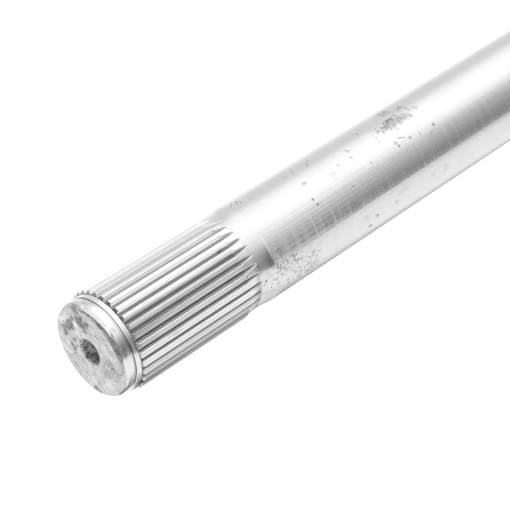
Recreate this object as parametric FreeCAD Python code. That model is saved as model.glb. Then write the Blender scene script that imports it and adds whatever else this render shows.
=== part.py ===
import FreeCAD, Part
import math
import os

# Axle shaft, splined at its upper end, turned from one steel bar.
# Millimetres. +Z runs along the shaft, from the plain end that it stands on to the splined end.
# The origin is the centre of the plain end's face.
# Distances along the shaft are counted down from the splined end's face, as a turner would.

# The shaft as a whole
overall_length = 400.0
end_chamfer = 1.5

# Spline: 30 degree involute teeth, 24/48 diametral pitch, thicker than their spaces
tooth_count = 33
module_size = 25.4 / 24
pressure_angle = math.radians(30.0)
tooth_thickness = 2.05
tip_height = 0.5375
root_depth = 0.50
hob_radius = 32.0
hob_stop_before_neck = 4.6
cutter_overreach = 1.5

# Front of the spline, with the chamfer that lets a hub start onto the teeth
land_length = 1.70
land_below_roots = 0.10
lead_chamfer_length = 0.81
full_tooth_length = 45.8

# Neck between the spline and the body, one shallow round-bottomed relief
body_below_tips = 0.20
neck_depth = 0.55
neck_arc_radius = 29.0

# Pilot at the splined end, its rim swollen and rounded over
pilot_length = 4.35
pilot_face_radius = 15.95
pilot_crown_radius = 16.55
pilot_crown_setback = 1.45
pilot_back_radius = 16.30

# Narrow turned slot between the pilot and the land
slot_width = 0.36
slot_depth = 0.80

# Drilled hole in the splined end's face
hole_radius = 4.25
hole_depth = 22.0
hole_point_angle = math.radians(118.0)
hole_mouth_chamfer = 0.30

# Lathe centre in the plain end's face
centre_mouth_radius = 4.5
centre_drill_radius = 2.0
centre_drill_depth = 7.5
centre_cone_angle = math.radians(60.0)

# Radii that follow from the teeth
pitch_radius = tooth_count * module_size / 2
base_radius = pitch_radius * math.cos(pressure_angle)
tip_radius = pitch_radius + tip_height
root_radius = pitch_radius - root_depth
land_radius = root_radius - land_below_roots
body_radius = tip_radius - body_below_tips
neck_radius = body_radius - neck_depth

# Distances from the splined end's face, one feature after the other
slot_end = pilot_length + slot_width
land_end = slot_end + land_length
teeth_start = land_end + lead_chamfer_length
neck_start = teeth_start + full_tooth_length


def arc_run(height):
    """How far along the shaft the neck's arc runs while it rises by height from its bottom."""
    return math.sqrt(2 * neck_arc_radius * height - height**2)


neck_bottom = neck_start + arc_run(tip_radius - neck_radius)
neck_end = neck_bottom + arc_run(neck_depth)
hob_stop = neck_bottom - hob_stop_before_neck


def at(distance, radius):
    """A point of the turned profile, in the half-plane y = 0."""
    return FreeCAD.Vector(radius, 0, overall_length - distance)


def line(start, end):
    return Part.LineSegment(start, end).toShape()


def arc(start, middle, end):
    return Part.Arc(start, middle, end).toShape()


def neck_point(distance):
    """A point of the neck's arc, whose centre stands straight out from its bottom."""
    offset = distance - neck_bottom
    rise = neck_arc_radius - math.sqrt(neck_arc_radius**2 - offset**2)
    return at(distance, neck_radius + rise)


def turned(edges):
    """A solid of revolution about Z from a closed profile."""
    face = Part.Face(Part.Wire(edges))
    return face.revolve(FreeCAD.Vector(0, 0, 0), FreeCAD.Vector(0, 0, 1), 360)


def turned_blank():
    """The bar after turning, before its teeth are cut: pilot, slot, land, spline, neck and body."""
    slot_floor = pilot_back_radius - slot_depth
    pilot_crown = arc(
        at(0, pilot_face_radius),
        at(pilot_crown_setback, pilot_crown_radius),
        at(pilot_length, pilot_back_radius),
    )
    neck = arc(
        neck_point(neck_start),
        neck_point(neck_bottom),
        neck_point(neck_end),
    )
    edges = [
        line(at(0, 0), at(0, pilot_face_radius)),
        pilot_crown,
        line(at(pilot_length, pilot_back_radius), at(pilot_length, slot_floor)),
        line(at(pilot_length, slot_floor), at(slot_end, slot_floor)),
        line(at(slot_end, slot_floor), at(slot_end, land_radius)),
        line(at(slot_end, land_radius), at(land_end, land_radius)),
        line(at(land_end, land_radius), at(teeth_start, tip_radius)),
        line(at(teeth_start, tip_radius), neck_point(neck_start)),
        neck,
        line(neck_point(neck_end), at(overall_length - end_chamfer, body_radius)),
        line(
            at(overall_length - end_chamfer, body_radius),
            at(overall_length, body_radius - end_chamfer),
        ),
        line(at(overall_length, body_radius - end_chamfer), at(overall_length, 0)),
        line(at(overall_length, 0), at(0, 0)),
    ]
    return turned(edges)


def involute(angle):
    return math.tan(angle) - angle


def half_space_angle(radius):
    """Half the angle of a tooth space at a radius, from the involute of the base circle."""
    half_tooth_at_pitch = tooth_thickness / (2 * pitch_radius)
    local_angle = math.acos(base_radius / radius)
    half_tooth = half_tooth_at_pitch + involute(pressure_angle) - involute(local_angle)
    return math.pi / tooth_count - half_tooth


def flank_point(radius, side):
    angle = side * half_space_angle(radius)
    return FreeCAD.Vector(radius * math.cos(angle), radius * math.sin(angle), 0)


def fillet_bottom(form_radius):
    """How deep one arc reaches that is tangent to both flanks where they start."""
    angle = half_space_angle(form_radius)
    lean = math.acos(base_radius / form_radius) + angle
    half_width = form_radius * math.sin(angle)
    drop = half_width * (1 - math.sin(lean)) / math.cos(lean)
    return form_radius * math.cos(angle) - drop


def form_radius_for_root():
    """The radius where the flanks end and the full root fillet takes over, by bisection."""
    low = root_radius
    high = tip_radius
    for _ in range(50):
        middle = (low + high) / 2
        if fillet_bottom(middle) < root_radius:
            low = middle
        else:
            high = middle
    return high


def space_section():
    """One tooth space across the shaft: a full root fillet, two involute flanks, an open top."""
    flank_steps = 4
    cutter_radius = tip_radius + cutter_overreach
    form_radius = form_radius_for_root()
    step = (cutter_radius - form_radius) / flank_steps
    radii = [form_radius + step * i for i in range(flank_steps + 1)]
    flanks = []
    for side in (-1, 1):
        curve = Part.BSplineCurve()
        curve.interpolate([flank_point(radius, side) for radius in radii])
        flanks.append(curve.toShape())
    root = arc(
        flank_point(form_radius, -1),
        FreeCAD.Vector(root_radius, 0, 0),
        flank_point(form_radius, 1),
    )
    top = line(flank_point(cutter_radius, 1), flank_point(cutter_radius, -1))
    return Part.Face(Part.Wire([flanks[0], root, flanks[1], top]))


def space_cutter():
    """What the hob takes out of one space: a straight run, then its own round exit at the neck."""
    section = space_section()
    section.translate(FreeCAD.Vector(0, 0, overall_length - hob_stop))
    entry = (slot_end + land_end) / 2
    straight = section.extrude(FreeCAD.Vector(0, 0, hob_stop - entry))
    hob_axis = FreeCAD.Vector(root_radius + hob_radius, 0, overall_length - hob_stop)
    exit_rise = tip_radius - root_radius + cutter_overreach
    exit_angle = math.degrees(math.acos(1 - exit_rise / hob_radius))
    exit_sweep = section.revolve(hob_axis, FreeCAD.Vector(0, 1, 0), -exit_angle)
    return straight.fuse(exit_sweep)


def splined(blank):
    """The blank with one space cut beside each tooth; a tooth is centred on +X."""
    pitch_angle = 360 / tooth_count
    one_space = space_cutter()
    cutters = []
    for index in range(tooth_count):
        cutter = one_space.copy()
        angle = (index + 0.5) * pitch_angle
        cutter.rotate(FreeCAD.Vector(0, 0, 0), FreeCAD.Vector(0, 0, 1), angle)
        cutters.append(cutter)
    return blank.cut(cutters)


def drilled_hole():
    """The blind hole in the splined end, with its drill point and a broken edge at its mouth."""
    point_length = hole_radius / math.tan(hole_point_angle / 2)
    mouth_radius = hole_radius + hole_mouth_chamfer
    points = [
        at(0, 0),
        at(0, mouth_radius),
        at(hole_mouth_chamfer, hole_radius),
        at(hole_depth, hole_radius),
        at(hole_depth + point_length, 0),
    ]
    return turned([line(a, b) for a, b in zip(points, points[1:] + points[:1])])


def lathe_centre():
    """The 60 degree centre hole in the plain end, for the tailstock."""
    cone_length = (centre_mouth_radius - centre_drill_radius) / math.tan(centre_cone_angle / 2)
    point_length = centre_drill_radius / math.tan(hole_point_angle / 2)
    points = [
        at(overall_length, 0),
        at(overall_length, centre_mouth_radius),
        at(overall_length - cone_length, centre_drill_radius),
        at(overall_length - centre_drill_depth, centre_drill_radius),
        at(overall_length - centre_drill_depth - point_length, 0),
    ]
    return turned([line(a, b) for a, b in zip(points, points[1:] + points[:1])])


def axle_shaft():
    """The finished shaft: turned, then splined, then drilled in both ends."""
    return splined(turned_blank()).cut([drilled_hole(), lathe_centre()])


os.makedirs("parts", exist_ok=True)
shaft = axle_shaft()
print("valid", shaft.isValid(), "solids", len(shaft.Solids), "volume", round(shaft.Volume, 1))
shaft.exportStep("parts/axle_shaft.step")
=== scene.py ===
# %% [markdown]
# # A splined axle shaft
# One bar of steel, turned between centres, hobbed at one end and drilled in its face.
# The imported model is loaded first, because it fixes the size and place of everything else.
# Its box is kept, and the shaft's whole length is taken from it.

# %% Load the frame
import math

import bmesh
import bpy
import numpy as np
from mathutils import Matrix, Vector


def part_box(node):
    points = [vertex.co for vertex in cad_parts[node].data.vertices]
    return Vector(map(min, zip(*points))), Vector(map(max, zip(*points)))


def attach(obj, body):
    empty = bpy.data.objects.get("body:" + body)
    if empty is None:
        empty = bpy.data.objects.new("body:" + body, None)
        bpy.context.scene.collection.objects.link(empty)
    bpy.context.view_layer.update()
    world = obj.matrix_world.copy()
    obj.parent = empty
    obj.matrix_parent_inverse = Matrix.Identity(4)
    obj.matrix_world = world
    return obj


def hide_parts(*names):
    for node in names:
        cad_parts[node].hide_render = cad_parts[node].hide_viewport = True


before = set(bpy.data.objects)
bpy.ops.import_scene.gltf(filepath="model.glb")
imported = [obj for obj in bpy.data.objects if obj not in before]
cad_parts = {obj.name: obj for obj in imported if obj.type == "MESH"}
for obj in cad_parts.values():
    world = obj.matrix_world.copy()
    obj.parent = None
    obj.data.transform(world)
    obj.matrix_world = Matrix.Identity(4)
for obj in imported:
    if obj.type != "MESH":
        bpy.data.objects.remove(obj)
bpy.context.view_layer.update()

# %% [markdown]
# ## Sizes
# A turner reads a shaft from its end, so every size here is a distance down from the splined
# end's face, or a radius, in millimetres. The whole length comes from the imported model.
# The spline is a 33-tooth, 24/48 pitch, 30 degree one: its root, flanks and tips follow from that.

# %% Sizes in millimetres
MM = 0.001
shaft_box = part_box("axle_shaft")
overall_length = (shaft_box[1][2] - shaft_box[0][2]) / MM

tooth_count = 33
module_size = 25.4 / 24
pressure_angle = math.radians(30)
tooth_thickness = 2.05
tip_height = 0.5375
root_depth = 0.50
hob_radius = 32.0
hob_stop_before_neck = 4.6

pilot_length = 4.35
pilot_face_radius = 15.95
pilot_crown_radius = 16.55
pilot_crown_setback = 1.45
pilot_back_radius = 16.30
slot_width = 0.36
slot_depth = 0.80
land_length = 1.70
land_below_roots = 0.10
lead_chamfer_length = 0.81
full_tooth_length = 45.8
body_below_tips = 0.20
neck_depth = 0.55
neck_arc_radius = 29.0
end_chamfer = 1.5

hole_radius = 4.25
hole_depth = 22.0
hole_mouth_chamfer = 0.30
drill_point_half_angle = math.radians(59)
centre_mouth_radius = 4.5
centre_drill_radius = 2.0
centre_drill_depth = 7.5
centre_cone_half_angle = math.radians(30)

pitch_radius = tooth_count * module_size / 2
base_radius = pitch_radius * math.cos(pressure_angle)
tip_radius = pitch_radius + tip_height
root_radius = pitch_radius - root_depth
land_radius = root_radius - land_below_roots
body_radius = tip_radius - body_below_tips
neck_radius = body_radius - neck_depth
half_pitch = math.pi / tooth_count

slot_end = pilot_length + slot_width
land_end = slot_end + land_length
teeth_start = land_end + lead_chamfer_length
neck_start = teeth_start + full_tooth_length


def neck_run(height):
    """How far along the shaft the neck's arc runs while it rises by height."""
    return math.sqrt(2 * neck_arc_radius * height - height**2)


neck_bottom = neck_start + neck_run(tip_radius - neck_radius)
neck_end = neck_bottom + neck_run(neck_depth)
hob_stop = neck_bottom - hob_stop_before_neck
print(f"tip radius {tip_radius:.2f}, root {root_radius:.2f}, neck {neck_start:.1f} to {neck_end:.1f} mm")

# %% [markdown]
# ## Camera
# The shaft stands on its plain end, and the camera looks down its length from beside the splined
# end, rolled over on its side, so that the shaft seems to lie across the picture.
# The place is given from the centre of the splined end's face. The whole view is turned by a
# small angle about the shaft, so that the teeth meet the eye at the angle where they really do.

# %% Camera
camera_from_face = Vector((-2.26, -455.73, 219.91)) * MM
camera_right = Vector((-0.53944, -0.45250, -0.71010))
camera_up = Vector((0.84202, -0.28989, -0.45493))
camera_back = Vector((0, -0.84333, 0.53739))
tooth_phase = math.radians(3.0)
focal_length = 114.1

camera_data = bpy.data.cameras.new("camera")
camera_data.lens = focal_length
camera_data.sensor_width = 36
camera_data.clip_start = 0.01
camera = bpy.data.objects.new("camera", camera_data)
bpy.context.collection.objects.link(camera)
facing = Matrix((camera_right, camera_up, camera_back)).transposed().to_4x4()
splined_face = Vector((0, 0, overall_length * MM))
turn = Matrix.Rotation(tooth_phase, 4, "Z")
camera.matrix_world = turn @ Matrix.Translation(camera_from_face + splined_face) @ facing
bpy.context.scene.camera = camera
print("camera at", tuple(round(v, 4) for v in camera.matrix_world.translation))

# %% [markdown]
# ## The tooth space
# A hob rolls past the shaft and leaves involute flanks with one full fillet between them.
# Half of one space is worked out as a fine line, from the middle of its floor out past the tips.
# Every cross-section of the spline is this same line, so the teeth keep their true form.

# %% Half a tooth space
def involute(angle):
    return math.tan(angle) - angle


def half_space_angle(radius):
    """Half the angle of the space between two teeth at a radius."""
    half_tooth = tooth_thickness / (2 * pitch_radius) + involute(pressure_angle)
    return half_pitch - half_tooth + involute(math.acos(base_radius / radius))


def fillet_of(form_radius):
    """Centre and radius of the arc that is tangent to both flanks where they start."""
    angle = half_space_angle(form_radius)
    lean = math.acos(base_radius / form_radius) + angle
    half_width = form_radius * math.sin(angle)
    radius = half_width / math.cos(lean)
    return form_radius * math.cos(angle) + half_width * math.tan(lean), radius, lean


def form_radius_for_root():
    """The radius where the flanks end and the fillet takes over, by bisection."""
    low, high = root_radius, tip_radius
    for _ in range(50):
        middle = (low + high) / 2
        centre, radius, _lean = fillet_of(middle)
        if centre - radius < root_radius:
            low = middle
        else:
            high = middle
    return high


fillet_steps = 20
flank_steps = 40
past_tips = 1.0


def half_space_line():
    """Points (x, y) from the middle of the space's floor out past the tips; the space faces +x."""
    form_radius = form_radius_for_root()
    centre, radius, lean = fillet_of(form_radius)
    points = []
    for step in range(fillet_steps):
        angle = (math.pi / 2 - lean) * step / fillet_steps
        points.append((centre - radius * math.cos(angle), radius * math.sin(angle)))
    for step in range(flank_steps + 1):
        reach = form_radius + (tip_radius + past_tips - form_radius) * step / flank_steps
        angle = half_space_angle(reach)
        points.append((reach * math.cos(angle), reach * math.sin(angle)))
    return np.array(points)


space_line = half_space_line()
print(f"space line from radius {space_line[0][0]:.3f} to {np.hypot(*space_line[-1]):.3f} mm")

# %% [markdown]
# ## One row of one tooth
# Towards the body the hob lifts out along its own radius, so the floor of each space rises in a
# long scoop until it meets the neck. A row is cut across the shaft at one distance.
# It runs from the middle of one space, over a tooth, to the middle of the next space.
# Its columns follow the tooth's corners, so no edge is ever cut off by the mesh.

# %% Rows of points
edge_round = 0.11
largest_share = 0.3
corner_share = 0.44
thinnest_cut = 0.004
top_shares = (0.0, 0.55, 0.9)
space_shares = (1.0, 0.8, 0.6, 0.42, 0.28, 0.14, 0.0)


def lifted(line, distance):
    """The space's line where the hob has begun to leave, further out by its own round path."""
    past = max(0.0, distance - hob_stop)
    hob_axis = root_radius + hob_radius
    reach = hob_axis - line[:, 0]
    risen = hob_axis - np.sqrt(reach**2 - past**2)
    return np.stack([risen, line[:, 1]], axis=1)


def toothed_row(distance, blank_radius):
    """(angle, radius) pairs across one pitch, or None where no space is cut."""
    line = lifted(space_line, distance)
    radii = np.hypot(line[:, 0], line[:, 1])
    if radii[0] > blank_radius - thinnest_cut:
        return None
    angles = np.arctan2(line[:, 1], line[:, 0])
    along = np.concatenate([[0], np.cumsum(np.hypot(*np.diff(line, axis=0).T))])
    corner_at = np.interp(blank_radius, radii, along)
    corner_angle = np.interp(corner_at, along, angles)
    soften = min(edge_round, largest_share * (blank_radius - radii[0]), largest_share * corner_at)
    top_end = half_pitch - corner_angle - soften / blank_radius
    half = [(share * top_end, blank_radius) for share in top_shares]
    half.append((top_end, blank_radius))
    flank_at = corner_at - soften
    flank = (half_pitch - np.interp(flank_at, along, angles), np.interp(flank_at, along, radii))
    corner = (half_pitch - corner_angle, blank_radius)
    side_share = (1 - corner_share) / 2
    ends = zip(corner, half[-1], flank)
    half.append(tuple(corner_share * c + side_share * (top + side) for c, top, side in ends))
    for share in space_shares:
        at = flank_at * share
        half.append((half_pitch - np.interp(at, along, angles), np.interp(at, along, radii)))
    mirrored = [(-angle, radius) for angle, radius in reversed(half[1:])]
    return mirrored + half


def plain_row(radius, columns):
    """Evenly spaced points across one pitch; with no columns, the one point on the axis."""
    if not columns:
        return [(0, radius)]
    return [(half_pitch * (2 * step / columns - 1), radius) for step in range(columns + 1)]


sample_row = toothed_row(neck_start - 10, tip_radius)
print(len(sample_row), "points across one pitch of the spline")

# %% [markdown]
# ## The turned profile
# The profile is walked the way a tool would: out of the drilled hole, over the face, along the
# outside and in at the other end. Corners are broken by tiny arcs, because a real edge is never
# sharp and catches a line of light. Each stretch says how closely it is divided, both ways.

# %% Corners, steps and arcs of a path
HOLE, FACE, PILOT, SPLINE, BODY = range(5)
broken_share = 0.42


def rounded(corners):
    """A path with each corner (distance, radius, rounding) turned into a small arc of points."""
    path = [corners[0][:2]]
    for before, corner, after in zip(corners, corners[1:], corners[2:]):
        point, rounding = Vector(corner[:2]), corner[2]
        if not rounding:
            path.append(tuple(point))
            continue
        start = point + (Vector(before[:2]) - point).normalized() * rounding
        end = point + (Vector(after[:2]) - point).normalized() * rounding
        middle = point * broken_share + (start + end) * (1 - broken_share) / 2
        path += [tuple(start), tuple(middle), tuple(end)]
    path.append(corners[-1][:2])
    return path


def divided(path, spacing):
    """The same path with extra points, so that no step is longer than spacing."""
    out = [path[0]]
    for (x0, r0), (x1, r1) in zip(path, path[1:]):
        steps = max(1, math.ceil(math.hypot(x1 - x0, r1 - r0) / spacing))
        out += [(x0 + (x1 - x0) * i / steps, r0 + (r1 - r0) * i / steps) for i in range(1, steps + 1)]
    return out


def arc_through(start, middle, end, steps):
    """Points on the circle through three points, by their shares of its turn."""
    a, b, c = (complex(*p) for p in (start, middle, end))
    w = (c - a) / (b - a)
    centre = (b - a) * (w - abs(w) ** 2) / (2j * w.imag) + a
    spoke = a - centre
    total = np.angle((c - centre) / spoke)
    points = [centre + spoke * np.exp(1j * total * i / steps) for i in range(steps + 1)]
    return [(p.real, p.imag) for p in points]


print("a broken corner", rounded([(0, 0, 0), (1, 0, 0.1), (1, 1, 0)])[1:-1])

# %% Hole, face and pilot
hole_mouth_ring = 0.4
rim_rows_from = 14.0
hole_mouth_radius = hole_radius + hole_mouth_chamfer
hole_corners = [
    (hole_depth + hole_radius / math.tan(drill_point_half_angle), 0, 0),
    (hole_depth, hole_radius, 0.15),
    (hole_mouth_chamfer, hole_radius, 0.1),
    (0, hole_mouth_radius, 0.12),
    (0, hole_mouth_radius + hole_mouth_ring, 0),
]
hole_path = divided(rounded(hole_corners), spacing=1.0)
face_path = divided([(0, hole_mouth_radius + hole_mouth_ring), (0, rim_rows_from)], spacing=0.9)
outer_face_path = divided([(0, rim_rows_from), (0, pilot_face_radius)], spacing=0.2)[1:]
crown_path = arc_through(
    (0, pilot_face_radius),
    (pilot_crown_setback, pilot_crown_radius),
    (pilot_length, pilot_back_radius),
    steps=20,
)[1:-1]
print(len(hole_path), "rows in the hole,", len(crown_path), "over the pilot's crown")

# %% Slot and land
slot_floor = pilot_back_radius - slot_depth
slot_corners = [
    (pilot_length - 0.12, pilot_back_radius + 0.02, 0),
    (pilot_length, pilot_back_radius, 0.07),
    (pilot_length, slot_floor, 0.1),
    (slot_end, slot_floor, 0.1),
    (slot_end, land_radius, 0.09),
    (land_end, land_radius, 0.1),
    (land_end + 0.02, land_radius + 0.03, 0),
]
slot_path = divided(rounded(slot_corners), spacing=0.5)
print(len(slot_path), "rows from the slot to the land")

# %% Lead chamfer, tips and neck
lead_steps = (0.08, 0.09, 0.12, 0.18, 0.28, 0.42, 0.58, 0.72, 0.79)


def neck_arc(start, end, rows):
    """Rows down the neck's round bottom, whose arc is centred straight out from its lowest point."""
    path = []
    for distance in np.linspace(start, end, rows):
        rise = neck_arc_radius - math.sqrt(neck_arc_radius**2 - (distance - neck_bottom) ** 2)
        path.append((distance, neck_radius + rise))
    return path


slope = (tip_radius - land_radius) / lead_chamfer_length
spline_path = [(land_end + step, land_radius + step * slope) for step in lead_steps]
spline_path += [(teeth_start + 0.02, tip_radius - 0.02), (teeth_start + 0.09, tip_radius)]
tips = [(teeth_start + 0.2, tip_radius), (neck_start - 0.4, tip_radius)]
spline_path += divided(tips, spacing=2.2)
spline_path += neck_arc(neck_start, neck_bottom + 0.6, rows=28)
print(len(spline_path), "rows along the teeth")

# %% Body and plain end
body_corners = [
    (neck_end + 0.12, body_radius, 0),
    (neck_end + 0.6, body_radius, 0),
    (overall_length - end_chamfer, body_radius, 0.15),
    (overall_length, body_radius - end_chamfer, 0.15),
    (overall_length, body_radius - end_chamfer - 0.5, 0),
]
body_path = neck_arc(neck_bottom + 0.9, neck_end - 0.12, rows=10)
body_path += divided(rounded(body_corners), spacing=12)
cone_length = (centre_mouth_radius - centre_drill_radius) / math.tan(centre_cone_half_angle)
centre_bottom = overall_length - centre_drill_depth
tail_corners = [
    (overall_length, body_radius - end_chamfer - 0.6, 0),
    (overall_length, centre_mouth_radius, 0.12),
    (overall_length - cone_length, centre_drill_radius, 0.1),
    (centre_bottom, centre_drill_radius, 0.1),
    (centre_bottom - centre_drill_radius / math.tan(drill_point_half_angle), 0, 0),
]
tail_path = divided(rounded(tail_corners), spacing=1.6)

# %% All stretches, each with its zone and its columns
stretches = [
    (HOLE, hole_path, 3),
    (FACE, face_path, 4),
    (FACE, outer_face_path, 12),
    (PILOT, crown_path, 12),
    (PILOT, slot_path, 12),
    (SPLINE, spline_path, 16),
    (BODY, body_path, 8),
    (BODY, tail_path, 4),
]
print("rows in each stretch", [len(path) for _zone, path, _columns in stretches])

# %% [markdown]
# ## One pitch of the shaft as a mesh
# Everything round the shaft repeats with its teeth, so only a slice one pitch wide is built.
# Neighbouring rows may have different numbers of points, and they are sewn together by walking
# both at once. Plain stretches then need few columns, and the teeth get all that they want.

# %% One pitch wide slice
def sew(mesh, upper, lower, zone, zones):
    """Faces between two rows of (angle, vertex), wound so that they face outwards."""
    i = j = 0
    while i < len(upper) - 1 or j < len(lower) - 1:
        equal = len(upper) == len(lower)
        if equal:
            corners = (upper[i][1], lower[j][1], lower[j + 1][1], upper[i + 1][1])
            i, j = i + 1, j + 1
        else:
            next_upper = upper[i + 1][0] if i < len(upper) - 1 else math.inf
            next_lower = lower[j + 1][0] if j < len(lower) - 1 else math.inf
            if next_upper <= next_lower:
                corners = (upper[i][1], lower[j][1], upper[i + 1][1])
                i += 1
            else:
                corners = (upper[i][1], lower[j][1], lower[j + 1][1])
                j += 1
        face = mesh.faces.new(corners)
        face[zones] = zone


def slice_mesh():
    mesh = bmesh.new()
    zones = mesh.faces.layers.int.new("zone")
    previous = None
    for zone, path, columns in stretches:
        for distance, radius in path:
            row = toothed_row(distance, radius) if zone == SPLINE else None
            row = row or plain_row(radius, columns if radius else 0)
            ring = []
            for angle, reach in row:
                x, y = reach * math.cos(angle), reach * math.sin(angle)
                place = Vector((x, y, overall_length - distance)) * MM
                ring.append((angle, mesh.verts.new(place)))
            if previous:
                in_neck = zone == SPLINE and distance > neck_start
                sew(mesh, previous, ring, BODY if in_neck else zone, zones)
            previous = ring
    data = bpy.data.meshes.new("one_pitch")
    mesh.to_mesh(data)
    mesh.free()
    return data


slice_data = slice_mesh()
print("slice", len(slice_data.vertices), "points,", len(slice_data.polygons), "faces")

# %% [markdown]
# ## Teeth all round, by Geometry Nodes
# A hub gauge would show every tooth alike, so the slice is repeated by rule rather than by hand.
# The tree places one slice for each tooth, turned by its index, welds the seams, and then beats
# the pilot's rim out of true with a little noise, as blows on the end of a shaft do.
# A face attribute carries each stretch's zone through the tree, so each gets its own finish.

# %% Node helpers
def feed_socket(tree, socket, value):
    """Link an input to another node's output, or give it a plain value."""
    if isinstance(value, bpy.types.NodeSocket):
        tree.links.new(value, socket)
    else:
        socket.default_value = value


def new_node(tree, kind, values=None, **settings):
    """A node with its settings, and with plain values or links on its inputs."""
    node = tree.nodes.new(kind)
    for name, value in settings.items():
        setattr(node, name, value)
    for name, value in (values or {}).items():
        feed_socket(tree, node.inputs[name], value)
    return node


def math_node(tree, operation, *terms, clamp=False):
    """The output of a Math node on numbers or sockets."""
    node = new_node(tree, "ShaderNodeMath", operation=operation, use_clamp=clamp)
    for socket, term in zip(node.inputs, terms):
        feed_socket(tree, socket, term)
    return node.outputs[0]


def product(tree, *factors):
    """All the factors multiplied together."""
    total = factors[0]
    for factor in factors[1:]:
        total = math_node(tree, "MULTIPLY", total, factor)
    return total


def vector_math(tree, operation, vector, other=None):
    """The result of a Vector Math node: a number for a length, and otherwise a vector."""
    second = "Scale" if operation == "SCALE" else 1
    values = {0: vector} if other is None else {0: vector, second: other}
    node = new_node(tree, "ShaderNodeVectorMath", values, operation=operation)
    return node.outputs["Value" if operation == "LENGTH" else "Vector"]


def remap(tree, value, low, high, to_low=0.0, to_high=1.0):
    """A smooth, clamped change of range."""
    values = {"Value": value, "From Min": low, "From Max": high, "To Min": to_low, "To Max": to_high}
    node = new_node(tree, "ShaderNodeMapRange", values, interpolation_type="SMOOTHSTEP")
    return node.outputs["Result"]


def window(tree, value, rise, fall):
    """A smooth rise over one pair of values and a fall over another, each with its own range."""
    return product(tree, remap(tree, value, *rise), remap(tree, value, *fall))


def noise_at(tree, place, seed, **values):
    """Noise at a place; the seed is its fourth coordinate."""
    inputs = {"Vector": place, "W": seed, **values}
    return new_node(tree, "ShaderNodeTexNoise", inputs, noise_dimensions="4D").outputs


# %% The dents of the rim
rim_seed = 4.0
dented_depth = 0.003
dented_from_radius = 0.011
dented_fully_radius = 0.0155


def rim_dents(tree, given):
    """How far the blows move each point of the rim: noise that fades out below it and inside it."""
    place = new_node(tree, "GeometryNodeInputPosition").outputs[0]
    parts = new_node(tree, "ShaderNodeSeparateXYZ", {"Vector": place}).outputs
    lowest = math_node(tree, "SUBTRACT", given["Rim height"], dented_depth)
    near_rim = remap(tree, parts["Z"], lowest, given["Rim height"])
    squares = [math_node(tree, "POWER", parts[axis], 2) for axis in ("X", "Y")]
    across = math_node(tree, "SQRT", math_node(tree, "ADD", *squares))
    outside = remap(tree, across, dented_from_radius, dented_fully_radius)
    frequency = math_node(tree, "DIVIDE", 1, given["Dent size"])
    noise = noise_at(tree, place, rim_seed, Scale=frequency, Detail=3.0)["Color"]
    strength = product(tree, given["Rim dents"], near_rim, outside)
    return vector_math(tree, "SCALE", vector_math(tree, "SUBTRACT", noise, (0.5, 0.5, 0.5)), strength)


# %% The tree that repeats one tooth
def ring_tree(zone_materials):
    """Geometry Nodes tree: one slice per tooth, welded, its rim beaten, and each zone's finish set."""
    tree = bpy.data.node_groups.new("teeth_all_round", "GeometryNodeTree")
    sockets = tree.interface
    sockets.new_socket("Slice", in_out="INPUT", socket_type="NodeSocketGeometry")
    sockets.new_socket("Teeth", in_out="INPUT", socket_type="NodeSocketInt")
    for name in ("Weld distance", "Rim height", "Rim dents", "Dent size"):
        sockets.new_socket(name, in_out="INPUT", socket_type="NodeSocketFloat")
    sockets.new_socket("Shaft", in_out="OUTPUT", socket_type="NodeSocketGeometry")
    given = new_node(tree, "NodeGroupInput").outputs

    def on_geometry(kind, geometry, values=None):
        """One step that changes the geometry, and what comes out of it."""
        return new_node(tree, kind, {"Geometry": geometry, **(values or {})}).outputs[0]

    places = new_node(tree, "GeometryNodeMeshLine", {"Count": given["Teeth"], "Offset": (0, 0, 0)})
    index = new_node(tree, "GeometryNodeInputIndex").outputs[0]
    step = math_node(tree, "DIVIDE", math.tau, given["Teeth"])
    turned = new_node(tree, "ShaderNodeCombineXYZ", {"Z": math_node(tree, "MULTIPLY", index, step)})
    copies = new_node(
        tree,
        "GeometryNodeInstanceOnPoints",
        {"Points": places.outputs[0], "Instance": given["Slice"], "Rotation": turned.outputs[0]},
    )
    real = on_geometry("GeometryNodeRealizeInstances", copies.outputs[0])
    welded = on_geometry("GeometryNodeMergeByDistance", real, {"Distance": given["Weld distance"]})
    beaten = on_geometry("GeometryNodeSetPosition", welded, {"Offset": rim_dents(tree, given)})
    result = on_geometry("GeometryNodeSetShadeSmooth", beaten)
    zone = new_node(tree, "GeometryNodeInputNamedAttribute", {"Name": "zone"}, data_type="INT")
    for number, material in enumerate(zone_materials):
        same = new_node(tree, "FunctionNodeCompare", data_type="INT", operation="EQUAL")
        tree.links.new(zone.outputs["Attribute"], same.inputs[2])
        same.inputs[3].default_value = number
        painted = {"Selection": same.outputs[0], "Material": material}
        result = on_geometry("GeometryNodeSetMaterial", result, painted)
    finished = on_geometry("GeometryNodeRealizeInstances", result)
    new_node(tree, "NodeGroupOutput", {"Shaft": finished})
    return tree


# %% [markdown]
# ## Where things lie on the shaft
# Marks on a round bar are easiest to place on its unrolled skin: how far round, and how far down
# from the splined end. A shader group turns a point of the object into those two numbers, in
# millimetres, so that every material can use them. Angles run clockwise, seen from the splined end.

# %% Shader group for the unrolled skin
def shader_group(name, inputs, outputs):
    """An empty shader node group: its tree, the outputs of its input node, and its output node."""
    tree = bpy.data.node_groups.new(name, "ShaderNodeTree")
    for label, kind, default in inputs:
        socket = tree.interface.new_socket(label, in_out="INPUT", socket_type=kind)
        socket.default_value = default
    for label, kind in outputs:
        tree.interface.new_socket(label, in_out="OUTPUT", socket_type=kind)
    return tree, new_node(tree, "NodeGroupInput").outputs, new_node(tree, "NodeGroupOutput")


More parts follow.
